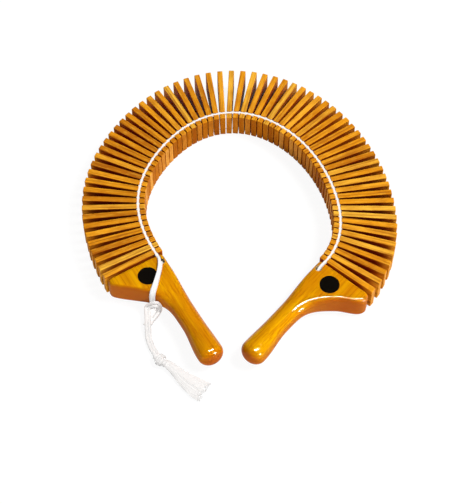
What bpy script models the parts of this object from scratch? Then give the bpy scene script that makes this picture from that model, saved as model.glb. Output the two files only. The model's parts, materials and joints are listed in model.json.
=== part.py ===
"""A kokiriko: wooden slats strung on one cord between two carved handles, lying fanned out on a table.

Sizes are millimetres and degrees. The finished objects are in metres, +Z up, with the table at Z = 0.
Every slat turns against its neighbour about an upright axis through the cord, halfway between the two,
and each slat object keeps its origin on the axis that it shares with the piece before it.
"""

import math

import bmesh
import bpy
import numpy as np
from mathutils import Matrix, Vector

METRES = 0.001

# Slats
SLAT_COUNT = 66
SLAT_LENGTH = 66.0
SLAT_HEIGHT = 29.5
SLAT_THICKNESS = 5.8
SLAT_GAP = 1.6
SLAT_EASING = 1.2
INNER_END = 7.3

# One slat in each run shares its object with the next, tied to it by the cord between them
RUN = 5
SHARED_AT = 2

# Cord and the notches that hold it
CORD_DIAMETER = 3.0
CORD_SIDES = 8
CORD_COVER = 0.2
CORD_SEAT = 0.2
NOTCH_PLAY = 0.7
GAP = 0.3

# Fan: it opens until this space is left between the knobs, its middle slat points this way, and the cord
# and the slats each add waves to its even turn
KNOB_SPACE = 16.3
FAN_MIDDLE = 85.2
CORD_WAVES = (4.3, 2.8, 5.2, -5.7, 2.0, 1.3, 1.7)
SLAT_WAVES = (-5.0, -0.1, -1.9, 1.9, -1.8)
LEFT_HANDLE_TURN = 0.7
RIGHT_HANDLE_TURN = 1.8

# Handles: outward is along the slats, and depth is measured away from them
HANDLE_LENGTH = 130.0
HEAD_REACH = 57.7
HEAD_INSET = 6.2
HEAD_ROUNDING = 6.0
HEAD_FILLET = 3.0
LOBE_DEPTH = 6.1
SHOULDER_DEPTH = 82.0
SHOULDER_SWEEP = 1.4
SHOULDER_EASE = 4.3
NECK_START = 8.7
NECK_END = 79.6
THIN_START = 20.2
THIN_END = 61.9
GRIP_DIAMETER = 22.3
GRIP_OFFSET = 5.3
KNOB_DIAMETER = 27.0
KNOB_OFFSET = 6.8
KNOB_START = 81.5
KNOB_FULL = 117.5
KNOB_ROUNDING = 11.0
HOLE_DIAMETER = 6.5
HOLE_DEPTH = 10.3
CORD_BEND = 2.5

# Tail: both cord ends leave the left handle's hole together and are knotted twice
TAIL_DIAMETER = 5.6
TAIL_STEP = 5.0
TAIL_ROUTE = (
    (2.0, 12.0, 32.8),
    (9.0, 20.4, 32.8),
    (15.6, 27.8, 32.8),
    (20.6, 33.2, 32.8),
    (25.0, 38.0, 30.0),
    (27.6, 40.8, 23.0),
    (28.4, 41.8, 12.0),
    (29.4, 42.6, 6.0),
    (32.6, 44.8, 3.6),
    (40.0, 51.4, 3.2),
    (46.0, 60.0, 3.2),
    (50.6, 72.5, 3.2),
    (53.0, 83.0, 3.2),
    (53.2, 90.5, 3.2),
)
TAIL_KNOT = 7
TAIL_KNOT_REACH = 6.0
TAIL_KNOT_SWELL = 0.8
TASSEL_ROUTE = ((52.9, 91.4), (51.0, 98.0), (46.5, 107.5), (40.2, 126.3), (32.6, 149.0))
TASSEL_HALF_WIDTHS = (3.4, 6.6, 4.8, 8.4, 11.0)
TASSEL_HALF_HEIGHTS = (2.8, 4.6, 3.0, 2.6, 2.0)
TASSEL_SIDES = 12
TASSEL_RINGS = 15

# Colours: linear red, green, blue, then roughness
WOOD = ((0.52, 0.23, 0.03), 0.45)
LACQUER = ((0.50, 0.21, 0.015), 0.18)
COTTON = ((0.86, 0.85, 0.82), 0.85)

# Worked out from the sizes above
CORD_RADIUS = CORD_DIAMETER / 2
CORD_FLAT = CORD_RADIUS * math.cos(math.pi / CORD_SIDES)
CORD_TOP = SLAT_HEIGHT - CORD_COVER - CORD_RADIUS
CORD_BOTTOM = CORD_COVER + CORD_RADIUS
NOTCH_WIDTH = CORD_DIAMETER + 2 * NOTCH_PLAY
NOTCH_DEPTH = CORD_COVER + CORD_RADIUS + CORD_FLAT - CORD_SEAT
GROOVE_DEPTH = CORD_COVER + CORD_DIAMETER + GAP
SLAT_PITCH = SLAT_THICKNESS + SLAT_GAP
FACE_DEPTH = SLAT_GAP / 2
HANDLE_END = FACE_DEPTH + HANDLE_LENGTH


def clear_scene():
    for thing in list(bpy.data.objects):
        bpy.data.objects.remove(thing, do_unlink=True)


def material(name, finish):
    """A Principled material with the finish's colour and roughness."""
    made = bpy.data.materials.new(name)
    made.use_nodes = True
    shader = made.node_tree.nodes["Principled BSDF"]
    colour, roughness = finish
    shader.inputs["Base Color"].default_value = (*colour, 1.0)
    shader.inputs["Roughness"].default_value = roughness
    shader.inputs["Metallic"].default_value = 0.0
    made.diffuse_color = (*colour, 1.0)
    return made


def add_object(name, mesh, place, finish, smooth=False):
    """An object in the scene at a place given in millimetres, with its own material."""
    made = bpy.data.objects.new(name, mesh)
    bpy.context.scene.collection.objects.link(made)
    made.matrix_world = Matrix.Scale(METRES, 4) @ place @ Matrix.Scale(1 / METRES, 4)
    mesh.materials.append(material(name, finish))
    if smooth:
        mesh.shade_smooth()
    return made


def add_helper(name, mesh, place, finish=COTTON):
    """An operand of a Boolean: it is never rendered."""
    made = add_object(name, mesh, place, finish)
    made.hide_render = True
    made.display_type = "WIRE"
    return made


def add_boolean(target, operand, operation):
    made = target.modifiers.new(operand.name, "BOOLEAN")
    made.operation = operation
    made.solver = "EXACT"
    made.material_mode = "TRANSFER"
    made.object = operand


def mesh_of(name, points, faces):
    """A mesh from points in millimetres, with its faces turned outwards."""
    made = bpy.data.meshes.new(name)
    made.from_pydata([tuple(METRES * float(c) for c in p) for p in points], [], faces)
    shape = bmesh.new()
    shape.from_mesh(made)
    bmesh.ops.recalc_face_normals(shape, faces=shape.faces)
    shape.to_mesh(made)
    shape.free()
    return made


def loft(rings):
    """Points and faces of a closed skin over rings that all have as many points."""
    count, sides = len(rings), len(rings[0])
    points = [point for ring in rings for point in ring]
    faces = []
    for i in range(count - 1):
        for j in range(sides):
            k = (j + 1) % sides
            faces.append((i * sides + j, i * sides + k, (i + 1) * sides + k, (i + 1) * sides + j))
    faces.append(tuple(range(sides)))
    faces.append(tuple(range((count - 1) * sides, count * sides)))
    return points, faces


def joined(shapes):
    """Several (points, faces) as one."""
    points, faces = [], []
    for more_points, more_faces in shapes:
        first = len(points)
        points.extend(more_points)
        faces.extend(tuple(first + i for i in face) for face in more_faces)
    return points, faces


def moved(shape, place):
    points, faces = shape
    return [tuple(place @ Vector(p)) for p in points], faces


def tube(route, side, radius=CORD_RADIUS):
    """A cord along a route, its rings square to the route; side is the direction that stays level."""
    route = [Vector(p) for p in route]
    side = Vector(side).normalized()
    rings = []
    for i, point in enumerate(route):
        along = (route[min(i + 1, len(route) - 1)] - route[max(i - 1, 0)]).normalized()
        level = (side - along * side.dot(along)).normalized()
        up = along.cross(level)
        turns = [2 * math.pi * (j + 0.5) / CORD_SIDES for j in range(CORD_SIDES)]
        rings.append([point + radius * (math.cos(t) * level + math.sin(t) * up) for t in turns])
    return loft(rings)


def waves(heights, share):
    """Half waves that vanish at both ends of the chain: the sum of height n times sin(n pi share)."""
    order = np.arange(1, len(heights) + 1)
    return np.sin(np.pi * np.outer(share, order)) @ np.array(heights)


def smooth_step(value, start, end):
    """0 before start, 1 past end, and a cubic with level ends between them."""
    t = np.clip((value - start) / (end - start), 0, 1)
    return t * t * (3 - 2 * t)


def fan(spread):
    """The axes between the pieces of a fan that turns by spread in all, and where each slat points."""
    share = (np.arange(SLAT_COUNT) + 0.5) / SLAT_COUNT
    facing = FAN_MIDDLE + spread * (0.5 - share) + waves(CORD_WAVES, share)
    heading = np.radians(facing - 90)
    steps = SLAT_PITCH * np.column_stack((np.cos(heading), np.sin(heading)))
    axes = np.vstack((np.zeros(2), np.cumsum(steps, axis=0)))
    return axes, facing + waves(SLAT_WAVES, share)


def standing_at(point, degrees, mirror=False):
    """The matrix of a piece that stands at a plan point and points that way."""
    turned = Matrix.Translation((*point, 0)) @ Matrix.Rotation(math.radians(degrees), 4, "Z")
    return turned @ Matrix.Scale(-1, 4, (0, 1, 0)) if mirror else turned


def handle_places(axes, pointing):
    """The matrices of the left and the right handle."""
    left = standing_at(axes[0], pointing[0] + LEFT_HANDLE_TURN)
    return left, standing_at(axes[-1], pointing[-1] - RIGHT_HANDLE_TURN, mirror=True)


def knob_space(spread):
    """The space between the two knobs of a fan that turns by spread in all."""
    knob = Vector((KNOB_OFFSET, HANDLE_END - KNOB_ROUNDING, 0))
    left, right = handle_places(*fan(spread))
    return (right @ knob - left @ knob).dot(Vector((1, 0, 0))) - KNOB_DIAMETER


def fan_spread(narrow=180.0, wide=330.0, halvings=40):
    """The spread that leaves KNOB_SPACE between the knobs, found by halving."""
    for _ in range(halvings):
        middle = (narrow + wide) / 2
        if knob_space(middle) > KNOB_SPACE:
            narrow = middle
        else:
            wide = middle
    return narrow


def slat_solid():
    """One slat, its side outline with both cord notches carried across its thickness."""
    inner, outer = -INNER_END, SLAT_LENGTH - INNER_END
    half_notch, ease, top = NOTCH_WIDTH / 2, SLAT_EASING, SLAT_HEIGHT
    lower = [(inner + ease, 0), (-half_notch, 0), (-half_notch, NOTCH_DEPTH)]
    lower += [(half_notch, NOTCH_DEPTH), (half_notch, 0), (outer - ease, 0), (outer, ease)]
    lower += [(inner, ease)]
    upper = [(x, top - z) for x, z in reversed(lower[:-1])] + [(inner, top - ease)]
    outline = lower[:-1] + upper + lower[-1:]
    half = SLAT_THICKNESS / 2
    return loft([[(x, y, z) for x, z in outline] for y in (-half, half)])


def slat_corners():
    """The plan corners of one slat."""
    half = SLAT_THICKNESS / 2
    ends = (-INNER_END, SLAT_LENGTH - INNER_END)
    return [Vector((x, y, 0)) for x in ends for y in (-half, half)]


def cord_lengths(axes, first, last):
    """The two runs of cord, above and below, that a slat or a shared pair carries between its axes."""
    plan = [Vector((*p, 0)) for p in axes[first : last + 2]]
    along_start = (plan[1] - plan[0]).normalized()
    along_end = (plan[-1] - plan[-2]).normalized()
    plan[0] = plan[0] + along_start * GAP / 2
    plan[-1] = plan[-1] - along_end * GAP / 2
    level = Vector((0, 0, 1)).cross(along_start)
    runs = []
    for height in (CORD_TOP, CORD_BOTTOM):
        runs.append(tube([p + Vector((0, 0, height)) for p in plan], level))
    return joined(runs)


def add_slats(axes, pointing, shift):
    """Every slat with the cord that it carries, one object for each slat or shared pair."""
    index = 0
    while index < SLAT_COUNT:
        last = index + 1 if index % RUN == SHARED_AT and index + 1 < SLAT_COUNT else index
        name = "slat_" + "_".join(f"{n + 1:02d}" for n in range(index, last + 1))
        place = shift @ standing_at(axes[index], pointing[index])
        home = standing_at(axes[index], pointing[index]).inverted()
        slats = []
        for n in range(index, last + 1):
            middle = (axes[n] + axes[n + 1]) / 2
            slats.append(moved(slat_solid(), home @ standing_at(middle, pointing[n])))
        cords = moved(cord_lengths(axes, index, last), home)
        made = add_object(name, mesh_of(name, *joined(slats)), place, WOOD)
        cord = add_helper(name + "_cord", mesh_of(name + "_cord", *cords), place)
        add_boolean(made, cord, "UNION")
        index = last + 1


def handle_stations():
    """Depths of a handle's rings: close together at its face fillet and its round end."""
    quarter = np.linspace(0, np.pi / 2, 4)
    face = FACE_DEPTH + HEAD_FILLET * (1 - np.cos(quarter))
    lobe = np.linspace(FACE_DEPTH + HEAD_FILLET, THIN_END, 15)[1:]
    grip = np.linspace(THIN_END, HANDLE_END - KNOB_ROUNDING, 9)[1:]
    end = HANDLE_END - KNOB_ROUNDING * (1 - np.sin(np.linspace(0, 0.47 * np.pi, 6)))[1:]
    return np.concatenate((face, lobe, grip, end))


def handle_rings():
    """Rounded rectangles along the handle, from the wide head to the round grip and its knob.

    With t going from 0 at the lobe to 1 at the shoulder's end, the outer side falls to the grip by
    1 - (1 - t^sweep)^ease of the way, round at first and hollow after. The inner side goes over to the grip
    on a smooth step, the height and the corners on another, until the section is a circle. The rings
    shrink over the face fillet and the knob's round end.
    """
    depth = handle_stations()
    grip = GRIP_DIAMETER / 2
    axis = GRIP_OFFSET + (KNOB_OFFSET - GRIP_OFFSET) * smooth_step(depth, NECK_END, KNOB_FULL)
    sweep = np.clip((depth - LOBE_DEPTH) / (SHOULDER_DEPTH - LOBE_DEPTH), 0, 1) ** SHOULDER_SWEEP
    outer = HEAD_REACH + (axis + grip - HEAD_REACH) * (1 - (1 - sweep) ** SHOULDER_EASE)
    neck = smooth_step(depth, NECK_START, NECK_END)
    thin = smooth_step(depth, THIN_START, THIN_END)
    inner = -HEAD_INSET + (axis - grip + HEAD_INSET) * neck
    swell = (KNOB_DIAMETER / 2 - grip) * smooth_step(depth, KNOB_START, KNOB_FULL)
    half_width = (outer - inner) / 2 + swell
    half_height = SLAT_HEIGHT / 2 + (grip - SLAT_HEIGHT / 2) * thin + swell
    corner = HEAD_ROUNDING + (grip - HEAD_ROUNDING) * thin + swell
    fillet_left = np.clip(HEAD_FILLET - (depth - FACE_DEPTH), 0, HEAD_FILLET)
    inset = HEAD_FILLET - np.sqrt(HEAD_FILLET**2 - fillet_left**2)
    end_left = np.clip(KNOB_ROUNDING - (HANDLE_END - depth), 0, KNOB_ROUNDING)
    shrink = np.sqrt(1 - (end_left / KNOB_ROUNDING) ** 2)
    half_width = (half_width - inset) * shrink
    half_height = (half_height - inset) * shrink
    corner = np.minimum(np.maximum(corner - inset, HEAD_FILLET / 2) * shrink, half_height)
    corner = np.minimum(corner, half_width)
    middle = (outer + inner) / 2
    quarter = np.linspace(0, np.pi / 2, 5)
    turn = np.concatenate([quarter + q * np.pi / 2 for q in range(4)])
    side_x = np.repeat((1, -1, -1, 1), len(quarter))
    side_z = np.repeat((1, 1, -1, -1), len(quarter))
    x = middle[:, None] + side_x * (half_width - corner)[:, None] + corner[:, None] * np.cos(turn)
    z = SLAT_HEIGHT / 2 + side_z * (half_height - corner)[:, None] + corner[:, None] * np.sin(turn)
    y = np.broadcast_to(depth[:, None], x.shape)
    return np.stack((x, y, z), axis=-1)


def box_solid(low, high):
    ring = [(low[0], low[1]), (high[0], low[1]), (high[0], high[1]), (low[0], high[1])]
    return loft([[(x, y, z) for x, y in ring] for z in (low[2], high[2])])


def hole_solid(sides=24):
    """The upright cord hole, longer than the head is high."""
    radius, past = HOLE_DIAMETER / 2, GROOVE_DEPTH
    turns = [2 * math.pi * i / sides for i in range(sides)]
    ring = [(radius * math.cos(t), HOLE_DEPTH + radius * math.sin(t)) for t in turns]
    return loft([[(x, y, z) for x, y in ring] for z in (-past, SLAT_HEIGHT + past)])


def groove_solid(low, high):
    """A groove from the handle's face to the hole, as wide as the slats' notches."""
    half = NOTCH_WIDTH / 2
    return box_solid((-half, -FACE_DEPTH, low), (half, HOLE_DEPTH, high))


def cord_turn():
    """The cord at a handle: in along the upper groove, down the hole and back along the lower groove."""
    bend = np.linspace(0, math.pi / 2, 5)
    centre = HOLE_DEPTH - CORD_BEND
    upper = [(0, GAP / 2, CORD_TOP)]
    for t in bend:
        upper.append((0, centre + CORD_BEND * math.sin(t), CORD_TOP - CORD_BEND * (1 - math.cos(t))))
    lower = [(x, y, CORD_TOP + CORD_BOTTOM - z) for x, y, z in reversed(upper)]
    return tube(upper + lower, (1, 0, 0))


def add_handle(side, place):
    """A carved handle with its cord hole and grooves, and the cord that turns back in it."""
    name = side + "_handle"
    rings = [[tuple(p) for p in ring] for ring in handle_rings()]
    made = add_object(name, mesh_of(name, *loft(rings)), place, LACQUER, smooth=True)
    cutters = {
        "hole": hole_solid(),
        "upper_groove": groove_solid(SLAT_HEIGHT - GROOVE_DEPTH, SLAT_HEIGHT + GROOVE_DEPTH),
        "lower_groove": groove_solid(-GROOVE_DEPTH, GROOVE_DEPTH),
    }
    for what, solid in cutters.items():
        cutter_name = f"{side}_{what}_cutter"
        cutter = add_helper(cutter_name, mesh_of(cutter_name, *solid), place, LACQUER)
        add_boolean(made, cutter, "DIFFERENCE")
    turn_name = side + "_cord_turn"
    add_object(turn_name, mesh_of(turn_name, *cord_turn()), place, COTTON, smooth=True)


def smooth_route(points, step):
    """Points about a step apart on the Catmull-Rom curve through a route's own points."""
    points = [Vector(p) for p in points]
    ends = [2 * points[0] - points[1], *points, 2 * points[-1] - points[-2]]
    found = []
    for a, b, c, d in zip(ends, ends[1:], ends[2:], ends[3:]):
        count = max(1, round((c - b).length / step))
        for i in range(count):
            t = i / count
            bent = (2 * a - 5 * b + 4 * c - d) * t**2 + (3 * b - a - 3 * c + d) * t**3
            found.append(b + ((c - a) * t + bent) / 2)
    return [*found, points[-1]]


def add_tail(place):
    """The two cord ends, drawn as one plain tube that swells at the first knot."""
    curve = bpy.data.curves.new("cord_tail", "CURVE")
    curve.dimensions = "3D"
    curve.bevel_depth = TAIL_DIAMETER / 2 * METRES
    curve.bevel_resolution = 2
    curve.use_fill_caps = True
    route = smooth_route(TAIL_ROUTE, TAIL_STEP)
    spline = curve.splines.new("POLY")
    spline.points.add(len(route) - 1)
    for i, point in enumerate(route):
        away = (point - Vector(TAIL_ROUTE[TAIL_KNOT])).length / TAIL_KNOT_REACH
        spline.points[i].co = (*(point * METRES), 1.0)
        spline.points[i].radius = 1 + TAIL_KNOT_SWELL * math.exp(-(away**2))
    add_object("cord_tail", curve, place, COTTON)


def add_tassel(place):
    """The second knot and the frayed end: ellipses that swell, narrow and spread along the table."""
    given = np.linspace(0, 1, len(TASSEL_ROUTE))
    share = np.linspace(0, 1, TASSEL_RINGS)
    route = np.array(TASSEL_ROUTE)
    path = np.column_stack([np.interp(share, given, route[:, i]) for i in (0, 1)])
    half_width = np.interp(share, given, TASSEL_HALF_WIDTHS)
    half_height = np.interp(share, given, TASSEL_HALF_HEIGHTS)
    along = np.gradient(path, axis=0)
    along /= np.linalg.norm(along, axis=1)[:, None]
    across = np.column_stack((-along[:, 1], along[:, 0]))
    rings = []
    for i in range(TASSEL_RINGS):
        ring = []
        for j in range(TASSEL_SIDES):
            t = 2 * math.pi * j / TASSEL_SIDES
            plan = path[i] + across[i] * half_width[i] * math.cos(t)
            ring.append((*plan, half_height[i] * (1 + math.sin(t)) + GAP))
        rings.append(ring)
    add_object("tail_tassel", mesh_of("tail_tassel", *loft(rings)), place, COTTON, smooth=True)


def plan_centre(axes, pointing, handles):
    """The middle of the plan box of the slats and handles, so that the model stands centred."""
    corners = []
    for n in range(SLAT_COUNT):
        place = standing_at((axes[n] + axes[n + 1]) / 2, pointing[n])
        corners += [place @ c for c in slat_corners()]
    rings = [Vector(p) for p in handle_rings().reshape(-1, 3)]
    for place in handles:
        corners += [place @ p for p in rings]
    plan = np.array([(c.x, c.y) for c in corners])
    return (plan.min(axis=0) + plan.max(axis=0)) / 2


def main():
    clear_scene()
    axes, pointing = fan(fan_spread())
    left, right = handle_places(axes, pointing)
    centre = plan_centre(axes, pointing, (left, right))
    shift = Matrix.Translation((*-centre, 0))
    add_slats(axes, pointing, shift)
    add_handle("left", shift @ left)
    add_handle("right", shift @ right)
    add_tail(shift @ left)
    add_tassel(shift @ left)


main()
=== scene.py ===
"""A kokiriko fanned out on a white table: varnished slats on a white cord, lacquered handles, a cotton tail.

Shapes are worked out in millimetres in the frame of the piece that they belong to, and go into the meshes in
metres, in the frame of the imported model. Depth on a handle is measured away from the slats.
"""

import json
import math

import bpy
import numpy as np
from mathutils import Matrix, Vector

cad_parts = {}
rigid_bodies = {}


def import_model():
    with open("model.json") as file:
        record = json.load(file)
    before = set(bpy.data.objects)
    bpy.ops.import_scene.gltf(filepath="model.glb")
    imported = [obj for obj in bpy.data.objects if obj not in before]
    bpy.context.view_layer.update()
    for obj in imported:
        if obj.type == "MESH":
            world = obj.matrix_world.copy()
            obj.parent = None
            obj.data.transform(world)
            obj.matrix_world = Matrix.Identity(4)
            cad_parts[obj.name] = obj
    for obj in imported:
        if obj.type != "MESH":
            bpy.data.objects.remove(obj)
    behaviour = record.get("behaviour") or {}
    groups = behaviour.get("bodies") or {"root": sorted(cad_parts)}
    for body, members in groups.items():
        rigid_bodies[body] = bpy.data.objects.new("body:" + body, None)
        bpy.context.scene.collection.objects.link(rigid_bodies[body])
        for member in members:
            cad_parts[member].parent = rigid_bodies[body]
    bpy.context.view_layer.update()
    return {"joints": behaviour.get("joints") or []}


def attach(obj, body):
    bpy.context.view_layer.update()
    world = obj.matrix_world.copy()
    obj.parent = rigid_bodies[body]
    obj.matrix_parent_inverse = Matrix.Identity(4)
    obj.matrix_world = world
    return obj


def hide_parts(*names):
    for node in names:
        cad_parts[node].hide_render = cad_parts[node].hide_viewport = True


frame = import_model()

MM = 0.001
UP = np.array((0.0, 0.0, 1.0))
RNG = np.random.default_rng(66)

# Slats
SLAT_COUNT = 66
SLAT_LENGTH = 66.0
SLAT_HEIGHT = 29.5
SLAT_THICKNESS = 5.8
SLAT_PITCH = 7.4
INNER_END = 7.3
END_ROUNDING = 1.1
EDGE_ROUNDING = 0.55
NOTCH_HALF = 1.3
NOTCH_DEPTH = 2.8
NOTCH_LIP = 0.35
CORNER_POINTS = 5
LIP_POINTS = 4
NOTCH_POINTS = 9
EDGE_RINGS = 4
LENGTH_PLAY = (-0.25, 0.1)
# In each run of slats, the one at this place shares its solid with the next
RUN = 5
SHARED_AT = 2
# Shades go from 0 for warm wood to 1 for pale wood
PALE_SLATS = (2, 26, 32, 34, 38, 53, 57, 58, 62)
WARM_SLATS = (8, 10, 14, 22, 27, 50)
PALE_SHADE = 0.92
WARM_SHADE = 0.22
HONEY_SHADE = 0.50
SHADE_SPREAD = 0.13
PICKED_SPREAD = 0.5
INNER_END_SPREAD = 0.75
INNER_END_BETA = (2.4, 2.0)
# Painted light: the slats' inner ends turn lighter towards both ends of the row
INNER_END_PAINTED_LIGHT = 0.35
OUTER_END_SHADE = 0.75
# The grain's shift in metres, and its cells in a metre: along a slat, through it and up it
GRAIN_SHIFT = 0.5
VEIN_CELLS = (16.0, 480.0, 300.0)
CLOUD_CELLS = (45.0, 130.0, 80.0)
FLECK_CELLS = (130.0, 420.0, 420.0)
RING_CELLS = (200.0, 260.0, 90.0)
# Painted shade between the slats: the sides are dark from the inner end on, and turn lighter over this span
# towards the outer end
PAINTED_SHADE_SPAN = (42.0, 59.0)
PAINTED_SHADE_SHARES = (0.84, 0.1)

# Fan, as the solids lie
FAN_MIDDLE = 85.2
FAN_SPREAD = 252.5973
CORD_WAVES = (4.3, 2.8, 5.2, -5.7, 2.0, 1.3, 1.7)
SLAT_WAVES = (-5.0, -0.1, -1.9, 1.9, -1.8)
LEFT_HANDLE_TURN = 0.7
RIGHT_HANDLE_TURN = 1.8

# Cord, with its swell as shares of the radius
CORD_RADIUS = 1.75
CORD_PINCH = 0.72
CORD_BULGE = 1.1
CORD_TOP = 28.1
CORD_BOTTOM = 1.6
CORD_STEPS = 16
CORD_OVERLAP = 2
CORD_TIPS = (0.6, 0.9)
BULGE_EASE = 3
TURN_BEND = 3.2
ROUTE_STEP = 0.7
LAY_LENGTH = 9.0
LAY_STRANDS = 3
LAY_DEPTH = 0.05
LAY_SCALE = 0.01
CORD_SIDES = 15
FIBRE_CELLS = (24.0, 8.0, 1.0)

# Handles
HANDLE_LENGTH = 130.0
FACE_DEPTH = 0.8
HEAD_REACH = 57.7
HEAD_INSET = 6.2
HEAD_ROUNDING = 6.0
HEAD_FILLET = 3.0
LOBE_DEPTH = 6.1
LOBE_SWELLS = {"left": 0.0, "right": 5.0}
LOBE_SWELL_SPAN = (2.0, 14.0, 25.0)
SHOULDER_DEPTH = 82.0
SHOULDER_SWEEP = 1.4
SHOULDER_EASE = 4.3
NECK_START = 8.7
NECK_END = 79.6
THIN_START = 20.2
THIN_END = 61.9
GRIP_DIAMETER = 22.3
GRIP_OFFSET = 5.3
KNOB_DIAMETER = 27.0
KNOB_OFFSET = 6.8
KNOB_START = 81.5
KNOB_FULL = 117.5
KNOB_ROUNDING = 11.0
HOLE_DIAMETER = 6.5
HOLE_DEPTH = 10.3
GROOVE_HALF = 2.05
GROOVE_FLOOR = 25.9
CUT_PAST = 5.0
FACE_PAST = -2.0
# Rings of the skin, the last of which stops just short of the knob's pole
FACE_RINGS = 9
BODY_RINGS = 110
TIP_RINGS = 22
TIP_TURN = 0.485
CORNER_STEPS = 13
HOLE_SIDES = 40
SHARP_DEGREES = 35
# Lighter or darker lacquer on each head and grip
HANDLE_TONES = {"left": (0.0, -0.3), "right": (-0.35, 0.35)}
SPOT_CENTRE = (20.3, 18.1)
SPOT_RADIUS = 10.3
SPOT_EDGE = 0.25
SPOT_DEPTHS = (1.0, 0.5)
BORE_EDGES = (0.3, 0.1)
BAND_CELLS = (170.0, 5.0, 170.0)
STREAK_CELLS = (560.0, 9.0, 560.0)
PORE_CELLS = (1500.0, 60.0, 1500.0)

# Tail, in the left handle's frame
STRAND_RADIUS = 1.65
STRAND_A = (
    (0.0, -0.6, 28.1),
    (0.0, 3.0, 28.2),
    (0.6, 6.6, 29.9),
    (4.2, 13.6, 31.2),
    (9.5, 20.5, 31.2),
    (15.4, 26.6, 30.95),
    (20.6, 31.5, 30.4),
    (24.4, 34.7, 28.9),
    (26.2, 36.2, 27.0),
    (27.6, 37.3, 24.0),
    (28.0, 37.7, 19.0),
    (28.2, 37.7, 11.0),
    (29.2, 38.4, 5.0),
    (33.0, 41.4, 2.2),
    (37.2, 46.6, 1.8),
    (41.0, 53.2, 1.8),
)
STRAND_B = (
    (0.0, 10.6, 22.0),
    (0.3, 10.9, 26.4),
    (1.4, 12.2, 30.0),
    (5.6, 18.4, 31.1),
    (11.4, 25.2, 31.0),
    (16.6, 31.0, 30.5),
    (19.9, 34.4, 29.7),
    (22.7, 36.9, 28.4),
    (24.6, 38.7, 26.2),
    (25.8, 39.8, 23.2),
    (26.3, 40.2, 18.0),
    (26.6, 40.4, 11.0),
    (27.8, 41.2, 5.0),
    (31.2, 44.0, 2.2),
    (34.6, 48.4, 1.8),
    (38.3, 55.0, 1.8),
)
LOOSE_RADIUS = 1.8
LOOSE_APART = 0.88
TAIL_STEP = 0.8
ROPE_START = np.array((0.31, 0.53, 0.79))
SUNK_SHARE = 0.5
SUNK_RUN = 4.0
KNOT_OUTER = (
    (43.6, 55.4, 2.0),
    (42.3, 54.9, 2.0),
    (37.7, 53.2, 2.0),
    (33.4, 51.5, 2.0),
    (28.3, 49.2, 2.0),
    (24.3, 47.3, 3.4),
    (22.6, 47.3, 8.9),
    (22.9, 46.5, 14.4),
    (24.6, 44.6, 17.8),
    (27.5, 42.6, 16.9),
    (30.0, 39.5, 12.1),
    (32.1, 37.2, 9.0),
    (34.1, 37.1, 6.8),
    (36.2, 40.5, 5.8),
    (38.8, 45.8, 5.8),
    (42.1, 51.9, 5.8),
)
KNOT_INNER = (
    (44.6, 51.6, 2.0),
    (43.0, 51.0, 2.0),
    (38.5, 49.4, 2.0),
    (34.3, 47.6, 2.0),
    (29.6, 45.5, 2.4),
    (26.1, 44.8, 4.6),
    (25.2, 45.4, 9.4),
    (26.5, 44.6, 12.4),
    (28.8, 42.5, 10.6),
    (30.9, 40.6, 7.8),
    (32.7, 41.3, 6.6),
    (34.1, 43.8, 5.8),
    (36.0, 48.1, 5.8),
    (38.9, 53.8, 5.8),
)
TAIL_END = (
    (37.3, 46.8, 5.8),
    (38.9, 49.8, 5.8),
    (41.6, 54.8, 5.8),
    (44.1, 59.3, 4.6),
    (46.2, 63.4, 2.6),
    (48.6, 69.6, 2.0),
    (50.1, 76.6, 2.0),
    (50.6, 83.7, 2.4),
    (50.7, 90.8, 4.0),
)
SECOND_KNOT = (50.4, 96.6, 5.4)
SECOND_KNOT_HALF_WIDTH = 4.5
SECOND_KNOT_HALF_HEIGHT = 3.3
SECOND_KNOT_LENGTH = 6.4
SECOND_KNOT_TURNS = 2.3
SECOND_KNOT_ALONG = np.array((-0.3, 0.95, 0.0))
SECOND_KNOT_ACROSS = np.array((0.95, 0.3, 0.0))
WINDING_RADIUS = 2.1
WINDING_ENDS = 0.6
WINDING_POINTS = 120
CORE_RADIUS = 3.6
CORE_REACH = 7.5
CORE_POINTS = 20
TASSEL = ((49.6, 99.0), (46.4, 104.0), (42.9, 114.0), (39.8, 125.8), (34.8, 138.8), (28.2, 150.4))
TASSEL_HALF_WIDTHS = (3.4, 4.6, 6.0, 8.3, 10.1, 11.6)
TASSEL_HALF_HEIGHTS = (3.4, 3.2, 2.7, 2.3, 1.9, 1.5)
TASSEL_STEP = 1.8
TASSEL_BODY = (0.93, 0.9)
TASSEL_BODY_SIDES = 24
TASSEL_BODY_SHORTER = 5
# Painted shade on the tassel's body, which lies under the yarns
TASSEL_BODY_SHADE = 0.3
TASSEL_YARNS = 130
YARN_RADIUS = 0.55
YARN_TAPER = (1.15, 0.7)
YARN_SIDES = 6
YARN_WAVE = (0.3, 0.9)
YARN_WAVES = 1.4
YARN_ENDS = (0.84, 0.97, 1.0)
YARN_LIFT = (-0.5, 0.2)
# Painted shade on the yarns' undersides
YARN_UNDERSIDE_SHADE = 0.4

# Linear colours
WOOD_WARM = (0.42, 0.115, 0.006, 1.0)
WOOD_HONEY = (0.86, 0.34, 0.011, 1.0)
WOOD_PALE = (0.93, 0.50, 0.05, 1.0)
WOOD_VEIN = (0.30, 0.07, 0.004, 1.0)
# Painted shade for the slats' broad sides, where their neighbours shade them
WOOD_PAINTED_SHADE = (0.32, 0.024, 0.0002, 1.0)
END_DARK = (0.22, 0.035, 0.001, 1.0)
END_HONEY = (0.52, 0.165, 0.006, 1.0)
END_PALE = (0.95, 0.47, 0.09, 1.0)
AMBER = (0.66, 0.245, 0.001, 1.0)
AMBER_LIGHT = (0.78, 0.38, 0.001, 1.0)
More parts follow.
